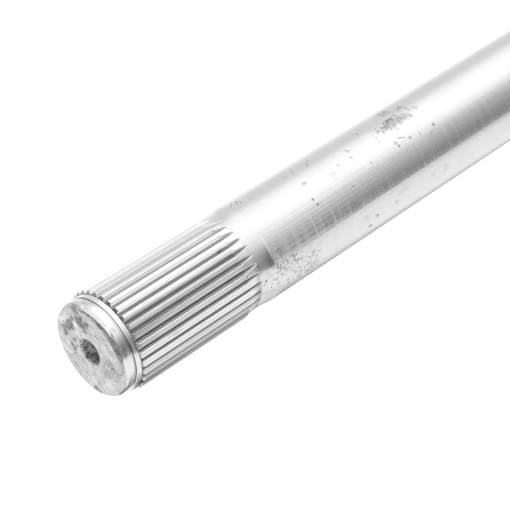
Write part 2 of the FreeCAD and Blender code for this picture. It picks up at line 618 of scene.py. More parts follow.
def place_group(tree, group, values=None):
    """A group placed in another tree, with its inputs set; what it puts out."""
    node = tree.nodes.new("ShaderNodeGroup")
    node.node_tree = group
    for name, value in (values or {}).items():
        feed_socket(tree, node.inputs[name], value)
    return node.outputs


def object_point(tree):
    """The shaded point in the shaft's own space, in metres."""
    return new_node(tree, "ShaderNodeTexCoord").outputs["Object"]


FLOAT, VECTOR = "NodeSocketFloat", "NodeSocketVector"


def unrolled_group():
    """Round the bar, down the bar, and out from its axis, in millimetres."""
    outputs = [("Skin", VECTOR), ("Arc", FLOAT), ("Distance", FLOAT), ("Radius", FLOAT)]
    tree, _given, out = shader_group("unrolled_skin", [], outputs)
    parts = new_node(tree, "ShaderNodeSeparateXYZ", {"Vector": object_point(tree)}).outputs
    angle = math_node(tree, "ARCTAN2", math_node(tree, "MULTIPLY", parts["Y"], -1), parts["X"])
    down = math_node(tree, "SUBTRACT", overall_length * MM, parts["Z"])
    distance = math_node(tree, "DIVIDE", down, MM)
    arc = math_node(tree, "MULTIPLY", angle, body_radius)
    skin = new_node(tree, "ShaderNodeCombineXYZ", {"X": arc, "Y": distance}).outputs[0]
    flat = new_node(tree, "ShaderNodeCombineXYZ", {"X": parts["X"], "Y": parts["Y"]}).outputs[0]
    radius = math_node(tree, "DIVIDE", vector_math(tree, "LENGTH", flat), MM)
    for (label, _kind), result in zip(outputs, (skin, arc, distance, radius)):
        tree.links.new(result, out.inputs[label])
    return tree


unrolled_skin = unrolled_group()
print("unrolled skin gives", [socket.name for socket in unrolled_skin.interface.items_tree])

# %% [markdown]
# ## Fine surface effects
# A lathe tool leaves rings, a stone or a cloth leaves streaks, and air leaves a mottled skin.
# Each is one noise, stretched the way the work moved: long round the bar and very short along it
# for turning, long along it for the spline. They feed colour, roughness and bump together, so a
# ring that looks lighter also shines and catches the light differently.

# %% Streaks and mottling
streak_layers = ((1.0, 0.6), (0.23, 0.4))


def turned_about_z(tree, vector, angle):
    """A vector turned about the shaft's axis, or on a flat map."""
    values = {"Vector": vector, "Angle": angle}
    return new_node(tree, "ShaderNodeVectorRotate", values, rotation_type="Z_AXIS").outputs[0]


def streak_group():
    """Noise stretched by Scale, in a fine layer and a coarser one; centred on 0.5."""
    inputs = [("Scale", VECTOR, (60, 60, 5000)), ("Turn", FLOAT, 0.0), ("Seed", FLOAT, 0.0)]
    tree, given, out = shader_group("streaks", inputs, [("Value", FLOAT)])
    place = turned_about_z(tree, object_point(tree), given["Turn"])
    total = 0.0
    for fineness, share in streak_layers:
        scale = vector_math(tree, "SCALE", given["Scale"], fineness)
        stretched = vector_math(tree, "MULTIPLY", place, scale)
        layer = noise_at(tree, stretched, given["Seed"], Scale=1.0, Detail=2.0)["Fac"]
        total = math_node(tree, "MULTIPLY_ADD", layer, share, total)
    tree.links.new(total, out.inputs["Value"])
    return tree


def mottle_group():
    """Soft irregular patches, 0 to 1, at a size in millimetres."""
    inputs = [("Size", FLOAT, 4.0), ("Contrast", FLOAT, 1.0), ("Seed", FLOAT, 0.0)]
    tree, given, out = shader_group("mottle", inputs, [("Value", FLOAT)])
    frequency = math_node(tree, "DIVIDE", 1 / MM, given["Size"])
    look = {"Scale": frequency, "Detail": 5.0, "Roughness": 0.62, "Distortion": 0.4}
    noise = noise_at(tree, object_point(tree), given["Seed"], **look)["Fac"]
    centred = math_node(tree, "SUBTRACT", noise, 0.5)
    scaled = math_node(tree, "MULTIPLY_ADD", centred, given["Contrast"], 0.5, clamp=True)
    tree.links.new(scaled, out.inputs["Value"])
    return tree


streaks = streak_group()
mottle = mottle_group()
print("shader groups", streaks.name, mottle.name)

# %% Marks and pits
mark_edge = (1.15, 0.55)
pit_size = 0.20
pit_size_spread = 0.30
pit_wall = 0.12


def mark_group():
    """One ragged spot on a flat map: its centre, half sizes and slant, and how ragged its edge is."""
    inputs = [
        ("Map", VECTOR, (0, 0, 0)),
        ("Centre", VECTOR, (0, 0, 0)),
        ("Half size", VECTOR, (1, 1, 1)),
        ("Slant", FLOAT, 0.0),
        ("Noise", FLOAT, 0.5),
        ("Ragged", FLOAT, 1.0),
        ("Depth", FLOAT, 1.0),
    ]
    tree, given, out = shader_group("mark", inputs, [("Mask", FLOAT)])
    offset = vector_math(tree, "SUBTRACT", given["Map"], given["Centre"])
    turned = turned_about_z(tree, offset, given["Slant"])
    reach = vector_math(tree, "LENGTH", vector_math(tree, "DIVIDE", turned, given["Half size"]))
    wobble = product(tree, math_node(tree, "SUBTRACT", given["Noise"], 0.5), given["Ragged"])
    edge = math_node(tree, "ADD", reach, wobble)
    mask = product(tree, remap(tree, edge, *mark_edge), given["Depth"])
    tree.links.new(mask, out.inputs["Mask"])
    return tree


def pit_group():
    """Scattered small pits on a flat map, thinned out where Amount is low."""
    inputs = [("Map", VECTOR, (0, 0, 0)), ("Spacing", VECTOR, (1, 1, 1)), ("Amount", FLOAT, 0.5)]
    tree, given, out = shader_group("pits", inputs, [("Mask", FLOAT)])
    place = vector_math(tree, "DIVIDE", given["Map"], given["Spacing"])
    values = {"Vector": place, "Scale": 1.0, "Randomness": 1.0}
    cells = new_node(tree, "ShaderNodeTexVoronoi", values, voronoi_dimensions="2D").outputs
    chance = new_node(tree, "ShaderNodeSeparateColor", {"Color": cells["Color"]}).outputs
    kept = math_node(tree, "LESS_THAN", chance[0], given["Amount"])
    size = math_node(tree, "MULTIPLY_ADD", chance[1], pit_size_spread, pit_size)
    inside = math_node(tree, "SUBTRACT", size, cells["Distance"])
    mask = product(tree, remap(tree, inside, 0.0, pit_wall), kept)
    tree.links.new(mask, out.inputs["Mask"])
    return tree


mark = mark_group()
pits = pit_group()
print("shader groups", mark.name, pits.name)


# %% Marks placed one by one
def marks_on(tree, flat_map, ragged_noise, spots):
    """The largest of several marks: (round, down, half round, half down, slant, ragged, depth)."""
    total = 0.0
    for round_at, down_at, half_round, half_down, slant, ragged, depth in spots:
        values = {
            "Map": flat_map,
            "Centre": (round_at, down_at, 0),
            "Half size": (half_round, half_down, 1),
            "Slant": math.radians(slant),
            "Noise": ragged_noise,
            "Ragged": ragged,
            "Depth": depth,
        }
        total = math_node(tree, "MAXIMUM", total, place_group(tree, mark, values)["Mask"])
    return total


def skin_marks(tree, skin, ragged_noise, spots):
    """Marks on the bar's skin, given in degrees round it and in millimetres down it."""
    moved = []
    for angle, down, half_angle, half_down, *look in spots:
        arc = (math.radians(angle) - tooth_phase) * body_radius
        moved.append((arc, down, math.radians(half_angle) * body_radius, half_down, *look))
    return marks_on(tree, skin["Skin"], ragged_noise, moved)


print(f"one degree round the body is {math.radians(body_radius):.3f} mm")

# %% [markdown]
# ## The steel
# It is one bar of bare steel, but each tool left it different, so each zone has its own material.
# All are the same metal: a grey tone, a roughness and a height for the bump, each worked out as a
# start plus masks and noises times their weights. Where a tool left long grooves the metal is
# anisotropic: it throws light across its grooves and hardly along them.

# %% What every steel has
def start_material(name):
    """A new material with an empty tree."""
    material = bpy.data.materials.new(name)
    material.use_nodes = True
    material.node_tree.nodes.clear()
    return material.node_tree


def steel_material(name, tone, roughness, height, bump_depth, grain=0.0, grain_turn=0.0, bright=1.0):
    """Bare steel in the material of that name, from its tone, roughness and height."""
    tree = bpy.data.materials[name].node_tree
    colour = new_node(tree, "ShaderNodeCombineColor", {"Red": tone, "Green": tone, "Blue": tone})
    relief = {"Height": height, "Strength": 1.0, "Distance": bump_depth}
    look = {
        "Base Color": colour.outputs[0],
        "Metallic": bright,
        "Roughness": roughness,
        "Normal": new_node(tree, "ShaderNodeBump", relief).outputs[0],
        "Anisotropic": grain,
    }
    if grain:
        round_the_bar = new_node(tree, "ShaderNodeTangent", direction_type="RADIAL", axis="Z")
        look["Tangent"] = round_the_bar.outputs[0]
        look["Anisotropic Rotation"] = grain_turn
    shader = new_node(tree, "ShaderNodeBsdfPrincipled", look)
    new_node(tree, "ShaderNodeOutputMaterial", {"Surface": shader.outputs[0]})
    print(name, "has", len(tree.nodes), "nodes")
    return bpy.data.materials[name]


def weighted(tree, start, masks, noises=()):
    """start, plus each mask times its weight, plus each noise, centred on zero, times its own."""
    total = start
    for value, weight in masks:
        total = math_node(tree, "MULTIPLY_ADD", value, weight, total)
    for value, weight in noises:
        centred = math_node(tree, "SUBTRACT", value, 0.5)
        total = math_node(tree, "MULTIPLY_ADD", centred, weight, total)
    return total


def streaks_on(tree, scale, seed, turn=0.0):
    values = {"Scale": scale, "Seed": seed, "Turn": turn}
    return place_group(tree, streaks, values)["Value"]


def patches_on(tree, size, contrast, seed):
    values = {"Size": size, "Contrast": contrast, "Seed": seed}
    return place_group(tree, mottle, values)["Value"]


def angle_round(tree, skin):
    """The angle round the shaft in degrees, counted from its upper outline in the photo."""
    per_arc = math.degrees(1 / body_radius)
    return math_node(tree, "MULTIPLY_ADD", skin["Arc"], per_arc, math.degrees(tooth_phase))


# %% [markdown]
# ## Painted shade in the tooth spaces and the neck
# The tooth spaces are darkened up to a level above their floor, partly by old grease and partly as
# painted shade, deepest low on the side that faces the camera, and one side of the neck is painted
# darker as shade. Both are masks worked out from where a point lies, so the teeth and the body,
# which share the hob's run-out, agree where they meet.

# %% Painted shade and grease in the tooth spaces, painted shade in the neck
low_shade_level = 0.38
high_shade_level = 1.0


def shade_and_grease_in_gaps(tree, skin):
    """Painted shade, partly grease, that fills each space up to a level above its floor, and thins out
    upwards.
    """
    angle = angle_round(tree, skin)
    level = math_node(
        tree,
        "MINIMUM",
        remap(tree, angle, 108, 146, low_shade_level, high_shade_level),
        remap(tree, angle, 176, 164, low_shade_level, high_shade_level),
    )
    above = math_node(tree, "SUBTRACT", skin["Radius"], root_radius)
    left = math_node(tree, "SUBTRACT", level, above)
    depth = math_node(tree, "POWER", math_node(tree, "DIVIDE", left, level, clamp=True), 1.2)
    toothed = remap(tree, skin["Distance"], neck_bottom - 0.8, neck_bottom - 2.2)
    shade_strength = remap(tree, angle, 66, 84, 0.85, 1.0)
    return product(tree, depth, toothed, shade_strength)


def painted_neck_shade(tree, skin):
    """Painted shade on one side of the neck, ending square just before the body starts."""
    side = window(tree, angle_round(tree, skin), (92, 112), (121, 116))
    near = (neck_bottom - 1.6, neck_bottom - 0.6)
    far = (neck_end - 0.75, neck_end - 0.95)
    return product(tree, side, window(tree, skin["Distance"], near, far))


# %% [markdown]
# ## The turned body
# The lathe left fine rings, and a few coarse ones where the feed tore the skin. Those are duller,
# and also painted a little lighter as a sheen, so they show as pale lines where the steel reflects
# something dark. Moisture has left stains, grouped pits on the lower side, and the bar has knocks and
# scratches. A few light marks are painted highlights, and the lower side of the neck is painted lighter.
# Each mark is listed: degrees round, millimetres down, half sizes, slant, raggedness, depth.

# %% Marks on the body
body_stains = [
    (52, 138, 9, 7.5, 0, 2.6, 0.75),
    (54, 143, 7, 4.5, 0, 2.6, 0.55),
    (50, 137.5, 4.5, 4.0, -20, 2.2, 1.0),
    (30, 142.0, 7, 2.6, -30, 3.0, 0.45),
    (27, 141.2, 3, 1.0, -40, 2.0, 0.5),
    (33, 143.6, 3, 1.1, -40, 2.0, 0.4),
    (37, 148.0, 3.5, 1.0, -40, 1.8, 0.8),
    (40, 146.6, 3, 0.8, -40, 1.8, 0.6),
    (46, 149.0, 4, 1.6, -40, 3.0, 0.5),
    (51, 151.5, 4, 1.4, -40, 3.0, 0.4),
    (57, 147, 3.5, 0.8, 0, 1.2, 0.7),
    (53, 115.5, 4, 1.2, 20, 2.2, 0.42),
    (62, 114.3, 4.5, 1.0, 0, 2.2, 0.4),
    (59.5, 92.3, 2.6, 1.2, 0, 1.6, 0.6),
    (81, 90.4, 2.4, 0.6, -15, 0.8, 1.0),
    (88, 90.7, 1.8, 0.55, 0, 0.8, 0.8),
    (77, 132.8, 2.5, 0.9, 0, 1.8, 0.6),
    (81.5, 133.2, 2.0, 0.7, 0, 1.0, 0.85),
    (74.8, 136.2, 1.1, 2.0, 22, 0.5, 1.0),
    (80, 139.3, 2.6, 0.8, 0, 1.2, 0.75),
    (82, 144, 3.0, 0.5, 0, 1.4, 0.45),
    (82, 151.4, 3.2, 0.8, 0, 1.2, 0.9),
    (88, 148.5, 2.2, 0.9, 0, 1.6, 0.45),
    (81, 119, 1.8, 0.6, 0, 1.0, 0.5),
    (69, 103.5, 5, 1.4, 0, 2.6, 0.22),
    (63, 108, 1.6, 0.6, 0, 1.0, 0.4),
    (66, 128, 1.8, 0.7, 0, 1.2, 0.35),
    (92, 107.2, 1.5, 0.45, 0, 0.8, 0.8),
    (38, 125.7, 3.0, 0.7, -25, 1.4, 0.4),
    (27, 68.2, 6, 0.32, 35, 1.0, 0.6),
    (30, 69.6, 7, 0.36, 35, 1.0, 0.7),
    (33, 70.6, 5, 0.32, 35, 1.0, 0.6),
    (31, 66.9, 5, 0.30, 35, 1.0, 0.6),
    (38, 100.6, 7, 0.36, 35, 1.2, 0.5),
    (33, 102.4, 5, 0.30, 35, 1.2, 0.4),
    (33, 94.6, 9, 0.40, 25, 1.4, 0.35),
    (36, 90.2, 4, 0.40, 25, 1.4, 0.35),
    (132, 82.3, 4, 0.9, 0, 2.6, 0.5),
    (150, 83, 7, 1.6, 0, 3.0, 0.3),
    (139, 113.6, 2.6, 1.5, 40, 1.4, 0.7),
    (148, 110.4, 2.4, 1.4, 30, 1.4, 0.9),
    (138, 123.6, 2.6, 1.1, 30, 1.4, 0.45),
    (135, 108, 5, 2.0, 0, 2.4, 0.22),
    (133, 143, 3.5, 1.4, 0, 1.8, 0.25),
    (136, 150, 5, 1.8, 0, 2.4, 0.25),
    (128, 128, 4, 4.0, 0, 2.4, 0.2),
    (108, 68, 5, 1.2, 0, 2.4, 0.4),
]
# Painted highlights: a thin line along the neck's end, and glints in stains on the body.
body_highlights = [
    (97, 64.9, 16, 0.30, 0, 0.4, 1.0),
    (57.6, 92.9, 1.4, 0.6, 0, 0.8, 0.8),
    (51.5, 116.6, 2.0, 0.5, 0, 0.8, 0.8),
    (55.5, 114.6, 1.4, 0.5, 0, 0.8, 0.7),
    (117.5, 114.0, 0.8, 0.3, 0, 0.6, 1.0),
]
pitted_areas = [
    (127, 69, 13, 7, 0, 1.4, 0.80),
    (142, 72, 20, 9, 0, 1.4, 0.50),
    (134, 82.5, 8, 2.8, 0, 1.2, 1.00),
    (148, 79, 16, 7, 0, 1.4, 0.70),
    (136, 61.5, 15, 4.5, 0, 1.2, 0.45),
    (110, 69, 6, 3, 0, 1.2, 0.30),
]
print(len(body_stains) + len(body_highlights), "marks and", len(pitted_areas), "pitted areas on the body")


# %% Steel of the body
def torn_rings(tree, skin, angle):
    """Where the feed tore the skin: mostly by the neck, and on the side that faces the camera."""
    distance = skin["Distance"]
    turned = remap(tree, distance, neck_end - 0.2, neck_end + 0.2)
    near_neck = remap(tree, distance, 130, 80, 0.3, 1.0)
    shaded = window(tree, angle, (68, 88, 0.1, 1.0), (178, 165, 0.1, 1.0))
    return product(tree, turned, near_neck, shaded)


def body_steel():
    tree = start_material("turned_body")
    skin = place_group(tree, unrolled_skin)
    angle = angle_round(tree, skin)
    # Painted shade, partly grease, at the bottom of the tooth spaces.
    gap_shade_and_grease = shade_and_grease_in_gaps(tree, skin)
    # Painted shade on one side of the neck.
    neck_shade = painted_neck_shade(tree, skin)
    rings = streaks_on(tree, (25, 25, 2600), 2)
    fine = streaks_on(tree, (40, 40, 7000), 9)
    feed = streaks_on(tree, (8, 8, 1900), 4)
    drawn = streaks_on(tree, (1300, 1300, 9), 6)
    cloud = patches_on(tree, 14, 1.6, 5)
    rag = patches_on(tree, 1.6, 1.5, 3)
    speck = patches_on(tree, 0.7, 2.2, 8)
    cluster = patches_on(tree, 4, 2.4, 1)
    # These light marks are painted highlights, and they are also rougher.
    light = skin_marks(tree, skin, rag, body_highlights)
    stain = skin_marks(tree, skin, rag, body_stains)
    stain = product(tree, stain, remap(tree, speck, 0.1, 0.9, 0.4, 1.05))
    pitted = skin_marks(tree, skin, rag, pitted_areas)
    crowd = product(tree, pitted, remap(tree, cluster, 0.3, 0.7, 0.1, 1.3))
    leaning = turned_about_z(tree, skin["Skin"], 0.35)
    few = place_group(tree, pits, {"Map": leaning, "Spacing": (1.5, 0.52, 1), "Amount": crowd})["Mask"]
    tooth_ends = remap(tree, skin["Distance"], neck_bottom - 1, neck_bottom - 3)
    in_neck = remap(tree, skin["Distance"], neck_end + 1.5, neck_end)
    # The lower side of the neck is made duller, and its colour is lifted there as painted light.
    dull = product(tree, remap(tree, angle, 146, 158), in_neck)
    fresh = torn_rings(tree, skin, angle)
    # The coarse grooves are also painted a little lighter, a sheen that shows as pale lines on the dark
    # side.
    groove_and_sheen = product(tree, fresh, remap(tree, feed, 0.47, 0.59))
    scratch = product(tree, fresh, remap(tree, drawn, 0.50, 0.62))
    torn = math_node(tree, "MAXIMUM", groove_and_sheen, light)
    darker = [(stain, -0.55), (few, -0.48), (gap_shade_and_grease, -0.74), (neck_shade, -0.22)]
    lighter = [(groove_and_sheen, 0.05), (dull, 0.12), (light, 0.18), (tooth_ends, 0.12)]
    tone = weighted(tree, 0.80, darker + lighter, [(rings, 0.06), (fine, 0.08), (cloud, 0.05)])
    grain = weighted(tree, 0.75, [(torn, -0.50), (tooth_ends, -0.45), (dull, -0.45)])
    rougher = [(torn, 0.28), (dull, 0.28), (tooth_ends, 0.10), (stain, 0.2), (few, 0.2)]
    roughness = weighted(tree, 0.22, rougher, [(fine, 0.2)])
    relief = [(groove_and_sheen, 0.12), (scratch, 0.35), (stain, -0.4), (few, -1.0)]
    height = weighted(tree, 0.5, relief, [(rings, 0.5), (fine, 0.2)])
    return steel_material("turned_body", tone, roughness, height, 0.00008, grain, 0.25)


body_finish = body_steel()


# %% [markdown]
# ## The hobbed teeth
# A hob cuts along the bar, so its streaks run the length of each tooth. Where the steel mirrors
# the dark side of the studio, thin dark lines are painted on the tops of the teeth to darken their
# reflection, and the lowest side of the spline is painted darker as shade.

# %% Steel of the teeth
spline_stains = [
    (73, 49.5, 1.4, 1.6, 0, 1.2, 0.5),
    (127, 44.5, 2.0, 0.7, 0, 1.0, 0.6),
    (121, 21, 2.5, 3.2, 0, 2.0, 0.3),
]


def spline_steel():
    tree = start_material("hobbed_teeth")
    skin = place_group(tree, unrolled_skin)
    angle = angle_round(tree, skin)
    # Painted shade, partly grease, at the bottom of the tooth spaces.
    gap_shade_and_grease = shade_and_grease_in_gaps(tree, skin)
    along = streaks_on(tree, (2700, 2700, 16), 1)
    cloud = patches_on(tree, 5, 1.8, 6)
    stain = skin_marks(tree, skin, patches_on(tree, 1.2, 1.5, 3), spline_stains)
    # Dark lines are painted on the tooth tops only where they mirror the dark side: a painted reflection.
    dark_mirror_side = window(tree, angle, (76, 84, 0.15, 1.0), (116, 106, 0.25, 1.0))
    on_tops = product(tree, dark_mirror_side, remap(tree, gap_shade_and_grease, 0.0, 0.4, 1.0, 0.2))
    painted_dark_lines = product(tree, on_tops, remap(tree, along, 0.47, 0.56))
    # The lowest side of the spline is painted darker as shade.
    underside_shade = window(tree, angle, (155, 160), (178, 168))
    darker = [(painted_dark_lines, -0.36), (underside_shade, -0.26), (gap_shade_and_grease, -0.74), (stain, -0.3)]
    tone = weighted(tree, 0.88, darker, [(along, 0.30), (cloud, 0.08)])
    roughness = weighted(tree, 0.18, [(gap_shade_and_grease, 0.12), (stain, 0.2)], [(along, 0.12)])
    height = weighted(tree, 0.5, [(painted_dark_lines, -0.25), (stain, -0.5)], [(along, 1.3)])
    return steel_material("hobbed_teeth", tone, roughness, height, 0.00006, 0.5, 0.0)


teeth_finish = spline_steel()

# %% [markdown]
# ## The pilot
# It was turned like the body but polished by the hub, so it is smoother and brighter. The blows
# that closed its rim left that rim dull. Its back edge, where it meets the slot, is painted darker
# as shade, and so is a patch on its underside.

# %% Steel of the pilot
pilot_stains_and_shade = [
    (103, 2.0, 3.0, 0.6, 40, 0.8, 0.8),
    (84, 2.5, 4.0, 0.5, 0, 1.2, 0.4),
    (107, 5.6, 9.0, 0.9, 0, 1.2, 0.5),
    (20, 2.4, 5.0, 0.8, 0, 2.0, 0.6),
    (34, 2.8, 6.0, 0.7, 10, 2.0, 0.5),
    (24, 0.5, 5.0, 0.7, 0, 2.0, 0.4),
    # A painted shadow on the pilot's underside, by the slot.
    (161, 3.5, 11.0, 1.3, 0, 1.6, 0.9),
]
pilot_dull = [
    (10, 0.2, 42, 1.8, 0, 1.6, 1.0),
    (-70, 0.2, 60, 1.8, 0, 1.6, 1.0),
    (-145, 0.2, 60, 1.8, 0, 1.6, 1.0),
    (150, 0.0, 26, 1.0, 0, 2.6, 0.8),
]


def pilot_steel():
    tree = start_material("pilot_rim")
    skin = place_group(tree, unrolled_skin)
    rings = streaks_on(tree, (20, 20, 4200), 7)
    cloud = patches_on(tree, 2.6, 2.0, 4)
    rag = patches_on(tree, 1.0, 1.5, 3)
    stain = skin_marks(tree, skin, rag, pilot_stains_and_shade)
    dull = skin_marks(tree, skin, rag, pilot_dull)
    # The back edge, where it meets the slot, is painted darker as shade.
    rise = (pilot_length - 1.0, pilot_length - 0.2)
    back = window(tree, skin["Distance"], rise, (pilot_length + 0.1, pilot_length + 0.02))
    darker = [(stain, -0.35), (dull, -0.3), (back, -0.18)]
    tone = weighted(tree, 0.86, darker, [(rings, 0.30), (cloud, 0.12)])
    roughness = weighted(tree, 0.15, [(stain, 0.2), (dull, 0.25)], [(cloud, 0.12)])
    height = weighted(tree, 0.5, [(stain, -0.5)], [(rings, 0.35), (cloud, 0.3)])
    return steel_material("pilot_rim", tone, roughness, height, 0.00005, 0.5, 0.25)


pilot_finish = pilot_steel()

# %% [markdown]
# ## The end face
# It was sawn and faced and is a soft, even grey, scuffed on a slant, with torn grey stains on one
# side. The blows left a bevel along the edge that turns towards the camera, and it is painted darker
# there as shade.
# Its marks lie on a flat map in millimetres: to the upper outline, towards the camera.

# %% Steel of the end face
face_stains = [
    (10.2, -4.0, 2.0, 2.6, 0, 1.8, 1.0),
    (11.3, -0.6, 1.9, 2.4, 20, 1.8, 1.0),
    (9.2, -7.2, 0.9, 1.5, 0, 1.8, 0.9),
    (9.2, -1.4, 1.3, 1.1, 0, 1.8, 0.9),
    (11.9, 2.1, 1.1, 1.4, 0, 1.8, 0.9),
    (9.2, 4.9, 3.0, 1.9, 10, 1.8, 1.0),
    (7.9, 7.4, 1.5, 1.8, 0, 1.8, 0.9),
    (10.1, 7.1, 1.3, 1.6, 0, 1.8, 0.8),
    (6.0, 4.6, 0.9, 0.9, -40, 1.6, 0.9),
    (6.6, 3.1, 0.5, 0.5, 0, 0.8, 1.0),
    (3.6, -7.7, 0.9, 1.1, 0, 1.6, 0.9),
    (5.2, -7.2, 1.3, 0.7, -20, 1.6, 0.8),
    (2.4, -9.0, 0.4, 0.9, 0, 1.4, 0.6),
    (3.8, -5.6, 0.6, 0.8, 0, 1.2, 0.9),
    (5.9, -4.4, 0.8, 0.7, 0, 1.0, 1.0),
    (13.4, 6.9, 1.8, 1.8, 20, 2.2, 0.7),
    (12.2, 9.6, 0.7, 2.0, -40, 1.8, 0.6),
    (10.2, 12.0, 0.8, 2.2, -55, 1.4, 0.5),
    (7.7, 12.7, 0.4, 0.4, 0, 0.8, 0.8),
    (2.8, 9.0, 1.6, 0.6, 30, 1.6, 0.5),
    (-8.0, 7.0, 5.0, 2.4, 20, 2.6, 0.35),
    (-8.5, 2.0, 3.4, 2.0, 0, 2.6, 0.3),
    (-11.0, -9.4, 2.2, 1.6, 40, 2.6, 0.4),
    (0.0, -12.6, 6.0, 1.0, 0, 2.6, 0.25),
    (-2.0, 12.0, 6.0, 1.6, 0, 2.6, 0.25),
]
face_lights = [
    (13.6, -3.8, 1.2, 2.8, 0, 2.0, 1.0),
    (9.8, 1.5, 2.2, 0.9, 0, 1.8, 1.0),
    (7.4, -0.4, 1.2, 1.6, 0, 1.8, 0.7),
    (4.2, 8.6, 2.4, 0.8, 0, 2.0, 0.6),
    (5.6, -12.4, 3.0, 1.2, 20, 2.0, 0.8),
    (6.4, -9.6, 1.4, 1.2, 0, 2.0, 0.8),
    (-9.0, -8.4, 3.0, 1.4, 0, 2.0, 0.6),
    (-12.0, -1.0, 2.4, 4.0, 0, 2.2, 0.5),
    (-4.0, 9.6, 4.0, 1.4, 0, 2.2, 0.4),
]
# Where the bevel's painted shade lies: radius, and reach towards the camera, in millimetres.
bevel_shade_reach = (14.2, 15.1)
bevel_shade_side = (12.4, 14.4)


def face_steel():
    tree = start_material("end_face")
    place = turned_about_z(tree, object_point(tree), -tooth_phase)
    flat_map = vector_math(tree, "MULTIPLY", place, (1 / MM, -1 / MM, 0))
    cloud = patches_on(tree, 3.2, 2.0, 2)
    grain = patches_on(tree, 0.6, 2.2, 6)
    scuff = streaks_on(tree, (260, 1100, 300), 3, math.radians(-34))
    torn = weighted(tree, patches_on(tree, 1.5, 1.5, 3), [], [(scuff, 1.0)])
    light = marks_on(tree, flat_map, torn, face_lights)
    stain = marks_on(tree, flat_map, torn, face_stains)
    stain = product(tree, stain, remap(tree, torn, 0.0, 0.6, 0.7, 1.0))
    stain = product(tree, remap(tree, stain, 0.14, 0.40), remap(tree, stain, 0.0, 1.0, 0.5, 1.0))
    reach = vector_math(tree, "LENGTH", flat_map)
    camera_side = new_node(tree, "ShaderNodeSeparateXYZ", {"Vector": flat_map}).outputs["Y"]
    # The bevel on the side towards the camera is painted darker as shade.
    bevel_shade = product(tree, remap(tree, reach, *bevel_shade_reach), remap(tree, camera_side, *bevel_shade_side))
    noises = [(cloud, 0.30), (scuff, 0.52), (grain, 0.44)]
    tone = weighted(tree, 0.64, [(bevel_shade, -0.32), (light, 0.25), (stain, -0.31)], noises)
    roughness = weighted(tree, 0.40, [(stain, 0.15)], [(grain, 0.2)])
    height = weighted(tree, 0.5, [(stain, -0.8)], [(grain, 0.5), (scuff, 0.8), (cloud, 0.5)])
    return steel_material("end_face", tone, roughness, height, 0.00012)


face_finish = face_steel()

# %% [markdown]
# ## The drilled hole
# A drill leaves rougher rings than a lathe, and dirt that nobody wipes out. Deep inside, its colour is
# painted darker as shade.

# %% Steel of the hole, and all the finishes
def hole_steel():
    tree = start_material("drilled_hole")
    skin = place_group(tree, unrolled_skin)
    rings = streaks_on(tree, (80, 80, 3000), 5)
    cloud = patches_on(tree, 2.0, 2.8, 7)
    speck = patches_on(tree, 0.6, 2.4, 4)
    # Deeper in the hole the colour is painted darker as shade.
    deep_shade = remap(tree, skin["Distance"], 2, 8)
    tone = weighted(tree, 0.47, [(deep_shade, -0.40)], [(rings, 0.2), (cloud, 0.9), (speck, 0.5)])
    roughness = weighted(tree, 0.5, [], [(cloud, 0.3)])
    height = weighted(tree, 0.5, [], [(rings, 0.4), (speck, 0.8)])
    return steel_material("drilled_hole", tone, roughness, height, 0.00025, bright=0.25)


zone_materials = [hole_steel(), face_finish, pilot_finish, teeth_finish, body_finish]
print("finishes", [material.name for material in zone_materials])

# %% [markdown]
# ## The dressed shaft
# The tree is put on the slice as a modifier, its inputs are set, and its result becomes one plain
# mesh. The shaft's end was then struck by hand: the blows closed the rim over on one side, and
# that dent is pressed into the mesh itself, so that the shaft stays inside its model.

# %% The shaft's mesh
dent_height = 0.00012
dent_size = 0.003


def shaft_mesh():
    for material in zone_materials:
        slice_data.materials.append(material)
    holder = bpy.data.objects.new("splined_shaft", slice_data)
    bpy.context.collection.objects.link(holder)
    modifier = holder.modifiers.new("teeth_all_round", "NODES")
    modifier.node_group = ring_tree(zone_materials)
    sizes = {
        "Teeth": tooth_count,
        "Weld distance": 1e-6,
        "Rim height": overall_length * MM,
        "Rim dents": dent_height,
        "Dent size": dent_size,
    }
    for socket in modifier.node_group.interface.items_tree:
        if socket.name in sizes:
            modifier[socket.identifier] = sizes[socket.name]
    evaluated = holder.evaluated_get(bpy.context.evaluated_depsgraph_get())
    mesh = bpy.data.meshes.new_from_object(evaluated)
    holder.modifiers.clear()
    holder.data = mesh
    mesh.name = "splined_shaft"
    return holder


shaft = shaft_mesh()
triangles = sum(len(face.vertices) - 2 for face in shaft.data.polygons)
print("shaft", triangles, "triangles", [m.name for m in shaft.data.materials])


# %% The struck rim
struck_from_radius = 13.5
side_from_radius = 15.5
lip_from_radius = 16.0
lip_wear = 0.04
side_spread = 0.40
back_growth = 0.16
straightened = 0.8
back_push = 0.14
bevel_start = pilot_face_radius - 0.15
bevel_widening = 1.2
bevel_end = 16.5
bevel_depth = 1.45


def swell(angle, centre, width):
    """A smooth hump round the shaft, 1 at its centre."""
    away = (angle - centre + 180) % 360 - 180
    return math.exp(-((away / width) ** 2))


def side_moved(distance, reach, angle):
    """How far the pilot's side was driven out of round, and straightened behind its crown."""
    back = min(1.0, distance / pilot_length)
    moved = back * side_spread * (swell(angle, 75, 48) - swell(angle, 172, 34))
    if pilot_crown_setback < distance < pilot_length + 0.01:
        along = (distance - pilot_crown_setback) / (pilot_length - pilot_crown_setback)
        straight = pilot_crown_radius + (pilot_back_radius + back_growth - pilot_crown_radius) * along
        share = straightened + (1 - straightened) * swell(angle, 105, 30)
        moved += share * (straight - reach)
    return moved


